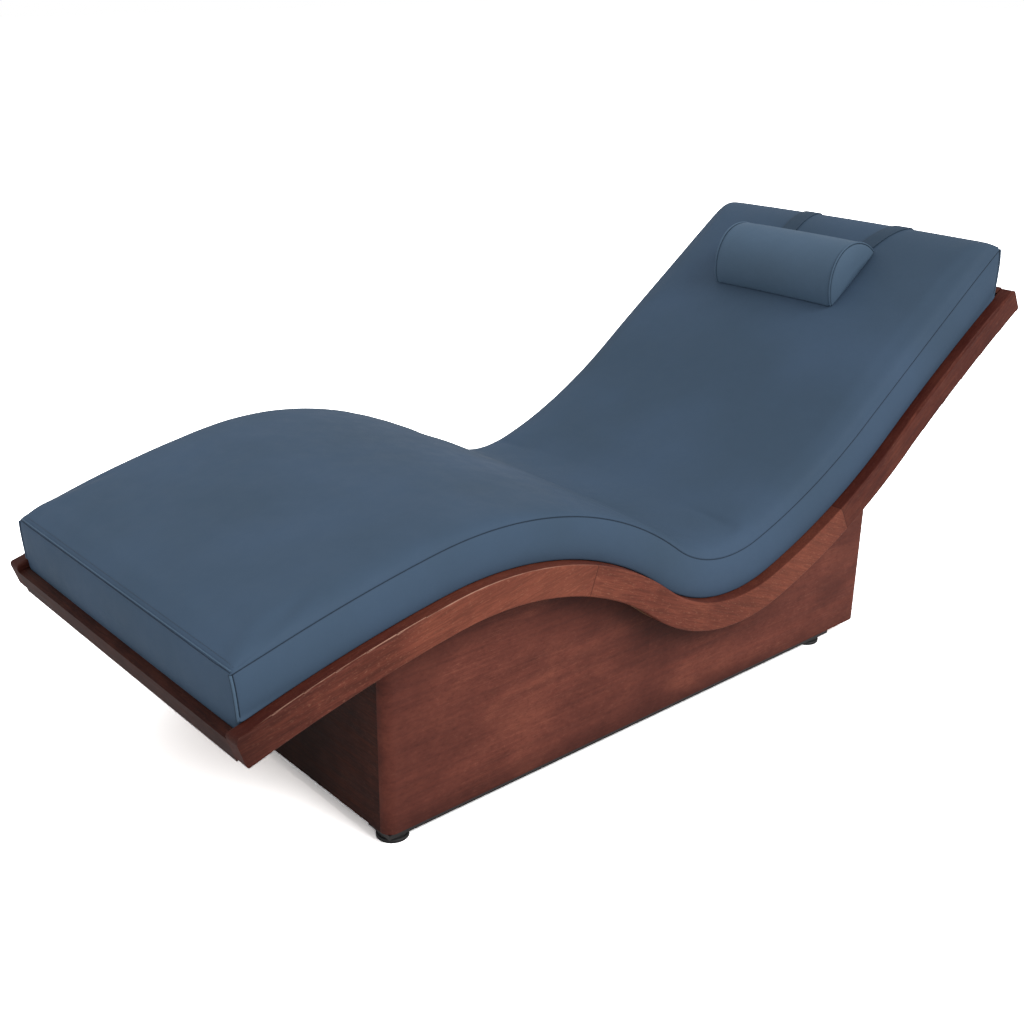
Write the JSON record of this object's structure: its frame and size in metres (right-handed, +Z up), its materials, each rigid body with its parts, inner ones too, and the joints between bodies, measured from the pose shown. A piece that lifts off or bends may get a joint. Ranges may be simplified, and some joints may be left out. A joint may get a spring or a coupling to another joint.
{
  "type": "spa relaxation lounger",
  "caption": "S-shaped spa relaxation lounger on a wood box base, with a thick vinyl cushion, a sliding neck pillow on weighted straps and levelling feet.",
  "frame": {"origin": "on the floor, under the middle of the whole lounger", "axes": "+X along the lounger from its foot end to its head end, +Y across to the right of a person lying on it, +Z up"},
  "size_m": [1.869, 0.76, 0.753],
  "materials": {
    "stained_wood": "dark red-brown stain under satin lacquer",
    "inner_wood": "raw plywood and softwood",
    "vinyl_blue": "fine-grained slate blue vinyl",
    "foam": "upholstery foam",
    "lining_cloth": "thin black lining",
    "hook_and_loop": "black hook and loop",
    "runner_black": "matt black",
    "foot_black": "black, lightly polished",
    "steel": "zinc plated"
  },
  "bodies": {
    "frame": {"left_side_rail": "stained_wood", "right_side_rail": "stained_wood", "foot_end_rail": "stained_wood", "head_end_rail": "stained_wood", "end_rail_dowels": "inner_wood", "deck_panel": "inner_wood", "left_deck_cleat": "inner_wood", "right_deck_cleat": "inner_wood", "foot_cross_rail": "inner_wood", "back_cross_rail": "inner_wood", "head_cross_rail": "inner_wood", "base_left_panel": "stained_wood", "base_right_panel": "stained_wood", "base_foot_panel": "stained_wood", "base_head_panel": "stained_wood", "foot_bulkhead": "inner_wood", "head_bulkhead": "inner_wood", "foot_corner_blocks": "inner_wood", "head_corner_blocks": "inner_wood", "head_foot_blocks": "inner_wood", "left_runner": "runner_black", "right_runner": "runner_black", "runner_screws": "steel", "platform_bolts": "steel", "rail_inserts": "steel", "leveller_nuts": "steel", "cushion_cover": "vinyl_blue", "cushion_foam": "foam", "cushion_underside": "lining_cloth", "grip_strips": "hook_and_loop", "edge_straps": "vinyl_blue"},
    "pillow": {"pillow_cover": "vinyl_blue", "pillow_foam": "foam", "pillow_underside": "vinyl_blue", "front_straps": "vinyl_blue"},
    "strap_weight": {"hanging_straps": "vinyl_blue", "weight_sleeve": "vinyl_blue", "weight_bar": "steel"},
    "foot_left_foot": {"foot_left_pad": "foot_black"},
    "foot_left_screw": {"foot_left_stem": "steel"},
    "foot_right_foot": {"foot_right_pad": "foot_black"},
    "foot_right_screw": {"foot_right_stem": "steel"},
    "head_left_foot": {"head_left_pad": "foot_black"},
    "head_left_screw": {"head_left_stem": "steel"},
    "head_right_foot": {"head_right_pad": "foot_black"},
    "head_right_screw": {"head_right_stem": "steel"}
  },
  "joints": [
    {"name": "pillow_slide", "type": "slide", "parent": "frame", "child": "pillow", "axis": [0.809, 0, 0.5878], "range_m": [-0.12, 0.04], "deforming": ["edge_straps", "front_straps"]},
    {"name": "strap_weight_drop", "type": "slide", "parent": "frame", "child": "strap_weight", "axis": [0, 0, -1], "range_m": [-0.12, 0.04]},
    {"name": "foot_left_level", "type": "slide", "parent": "frame", "child": "foot_left_foot", "axis": [0, 0, -1], "range_m": [0, 0.0155]},
    {"name": "foot_left_turn", "type": "hinge", "parent": "foot_left_foot", "child": "foot_left_screw", "pos_m": [-0.62764, -0.3037, 0.006], "axis": [0, 0, -1], "range_deg": [0, 3600]},
    {"name": "foot_right_level", "type": "slide", "parent": "frame", "child": "foot_right_foot", "axis": [0, 0, -1], "range_m": [0, 0.0155]},
    {"name": "foot_right_turn", "type": "hinge", "parent": "foot_right_foot", "child": "foot_right_screw", "pos_m": [-0.62764, 0.3037, 0.006], "axis": [0, 0, -1], "range_deg": [0, 3600]},
    {"name": "head_left_level", "type": "slide", "parent": "frame", "child": "head_left_foot", "axis": [0, 0, -1], "range_m": [0, 0.0155]},
    {"name": "head_left_turn", "type": "hinge", "parent": "head_left_foot", "child": "head_left_screw", "pos_m": [0.41436, -0.3037, 0.006], "axis": [0, 0, -1], "range_deg": [0, 3600]},
    {"name": "head_right_level", "type": "slide", "parent": "frame", "child": "head_right_foot", "axis": [0, 0, -1], "range_m": [0, 0.0155]},
    {"name": "head_right_turn", "type": "hinge", "parent": "head_right_foot", "child": "head_right_screw", "pos_m": [0.41436, 0.3037, 0.006], "axis": [0, 0, -1], "range_deg": [0, 3600]}
  ],
  "couplings": [
    {"joint": "strap_weight_drop", "follows": "pillow_slide", "ratio": 1},
    {"joint": "foot_left_level", "follows": "foot_left_turn", "m_per_rad": 0.00023873},
    {"joint": "foot_right_level", "follows": "foot_right_turn", "m_per_rad": 0.00023873},
    {"joint": "head_left_level", "follows": "head_left_turn", "m_per_rad": 0.00023873},
    {"joint": "head_right_level", "follows": "head_right_turn", "m_per_rad": 0.00023873}
  ]
}
